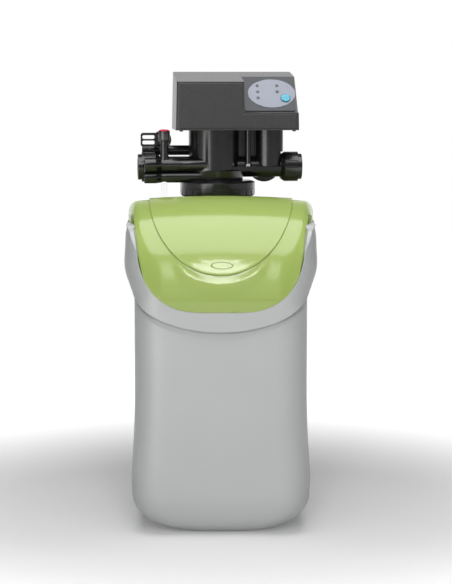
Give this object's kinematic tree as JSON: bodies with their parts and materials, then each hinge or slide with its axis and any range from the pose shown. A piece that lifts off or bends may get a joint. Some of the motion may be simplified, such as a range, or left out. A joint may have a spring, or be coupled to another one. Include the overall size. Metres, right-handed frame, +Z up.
{
  "type": "water softener",
  "caption": "Cabinet water softener: salt lid over a brine space, resin tank with a motor-driven piston valve, meter, union fittings, loop lever and a lift-off head with a display",
  "frame": {"origin": "on the floor under the middle of the cabinet", "axes": "+X to the right of a viewer who faces the salt lid, +Y to the back, +Z up"},
  "size_m": [0.2738, 0.456, 0.656],
  "materials": {
    "cabinet_grey": "fine moulded satin",
    "cover_green": "semi-gloss moulded",
    "head_grey": "satin",
    "black_plastic": "semi-gloss moulded",
    "panel_grey": "satin film",
    "face_blue_grey": "satin film",
    "lens_dark": "clear dome",
    "button_teal": "glossy dome",
    "red_plastic": "semi-gloss",
    "white_plastic": "natural moulded",
    "gear_white": "moulded",
    "clear_tube": "clear",
    "tank_fibreglass": "wound fibre under resin",
    "resin_beads": "packed beads",
    "board_green": "lacquered board",
    "rubber": "matte",
    "steel": "bright zinc",
    "rod_steel": "ground",
    "motor_steel": "plated can",
    "brass": "machined"
  },
  "bodies": {
    "cabinet": {"cabinet_body": "cabinet_grey", "top_cover": "cover_green", "hinge_pins": "steel", "hex_bolt": "steel", "plate_screws": "steel", "gear_pin": "steel", "resin_tank": "tank_fibreglass", "tank_boot": "black_plastic", "lock_ring": "black_plastic", "valve_body": "black_plastic", "bonnet": "black_plastic", "meter_cap": "black_plastic", "right_end_fitting": "black_plastic", "left_end_fitting": "black_plastic", "injector_housing": "black_plastic", "upright_collar": "black_plastic", "brine_elbow": "black_plastic", "drain_outlet": "black_plastic", "pillar": "black_plastic", "motor_bracket": "black_plastic", "bottom_basket": "black_plastic", "drive_plate": "black_plastic", "resin_bed": "resin_beads", "riser_tube": "white_plastic", "salt_grid": "white_plastic", "brine_well": "white_plastic", "brine_well_cap": "white_plastic", "float_rod": "white_plastic", "air_check": "white_plastic", "overflow_elbow": "white_plastic", "overflow_nut": "white_plastic", "spacer_cage": "white_plastic", "turbine_cage": "white_plastic", "brine_tube": "clear_tube", "tube_grommet": "rubber", "neck_seal": "rubber", "cage_seals": "rubber", "right_gasket": "rubber", "left_gasket": "rubber", "red_cap": "red_plastic", "motor": "motor_steel"},
    "salt_lid": {"salt_lid": "cover_green"},
    "head": {"head_cover": "head_grey", "power_inlet": "black_plastic", "display_panel": "panel_grey", "oval_face": "face_blue_grey", "indicator_lenses": "lens_dark", "circuit_board": "board_green"},
    "regen_button": {"regen_button": "button_teal"},
    "lever": {"loop_lever": "black_plastic"},
    "main_gear": {"main_gear": "gear_white"},
    "reduction_gear": {"reduction_gear": "gear_white"},
    "motor_pinion": {"motor_pinion": "brass"},
    "piston": {"piston": "black_plastic", "piston_rod": "rod_steel"},
    "turbine": {"turbine": "gear_white"},
    "brine_float": {"brine_float": "white_plastic"},
    "right_nut": {"right_union_nut": "black_plastic"},
    "left_nut": {"left_union_nut": "black_plastic"}
  },
  "joints": [
    {"name": "lid_hinge", "type": "hinge", "parent": "cabinet", "child": "salt_lid", "pos_m": [0, 0.0345, 0.4605], "axis": [-1, 0, 0], "range_deg": [0, 85]},
    {"name": "head_lift", "type": "slide", "parent": "cabinet", "child": "head", "axis": [0, 0, 1], "range_m": [0, 0.11]},
    {"name": "button_press", "type": "slide", "parent": "head", "child": "regen_button", "axis": [-0.0618, 0.7856, -0.6157], "range_m": [0, 0.0012], "stiffness_N_per_m": 300, "springref_m": -0.001},
    {"name": "lever_turn", "type": "hinge", "parent": "cabinet", "child": "lever", "pos_m": [-0.09073, 0.09825, 0.5518], "axis": [-0.0785, 0.9969, 0], "range_deg": [0, 90]},
    {"name": "main_gear_turn", "type": "hinge", "parent": "cabinet", "child": "main_gear", "pos_m": [-0.01098, 0.10453, 0.58], "axis": [0, 0, 1], "range_deg": [0, 1080]},
    {"name": "reduction_gear_turn", "type": "hinge", "parent": "cabinet", "child": "reduction_gear", "pos_m": [0.0085, 0.12734, 0.58], "axis": [0, 0, 1], "range_deg": [-4320, 0]},
    {"name": "motor_pinion_turn", "type": "hinge", "parent": "cabinet", "child": "motor_pinion", "pos_m": [0.03407, 0.13208, 0.59], "axis": [0, 0, 1], "range_deg": [0, 14400]},
    {"name": "piston_travel", "type": "slide", "parent": "cabinet", "child": "piston", "axis": [0, 0, 1], "range_m": [0, 0.024]},
    {"name": "turbine_spin", "type": "hinge", "parent": "cabinet", "child": "turbine", "pos_m": [0.07426, 0.11124, 0.54], "axis": [0, 0, 1], "continuous": true},
    {"name": "float_rise", "type": "slide", "parent": "cabinet", "child": "brine_float", "axis": [0, 0, 1], "range_m": [0, 0.03]},
    {"name": "right_nut_turn", "type": "hinge", "parent": "cabinet", "child": "right_nut", "pos_m": [0.10466, 0.11363, 0.51], "axis": [0.9969, 0.0785, 0], "continuous": true},
    {"name": "left_nut_turn", "type": "hinge", "parent": "cabinet", "child": "left_nut", "pos_m": [-0.10868, 0.09684, 0.51], "axis": [0.9969, 0.0785, 0], "continuous": true}
  ],
  "couplings": [
    {"joint": "reduction_gear_turn", "follows": "main_gear_turn", "ratio": -4},
    {"joint": "motor_pinion_turn", "follows": "main_gear_turn", "ratio": 13.333},
    {"joint": "piston_travel", "follows": "main_gear_turn", "m_per_rad": 0.0012732}
  ]
}
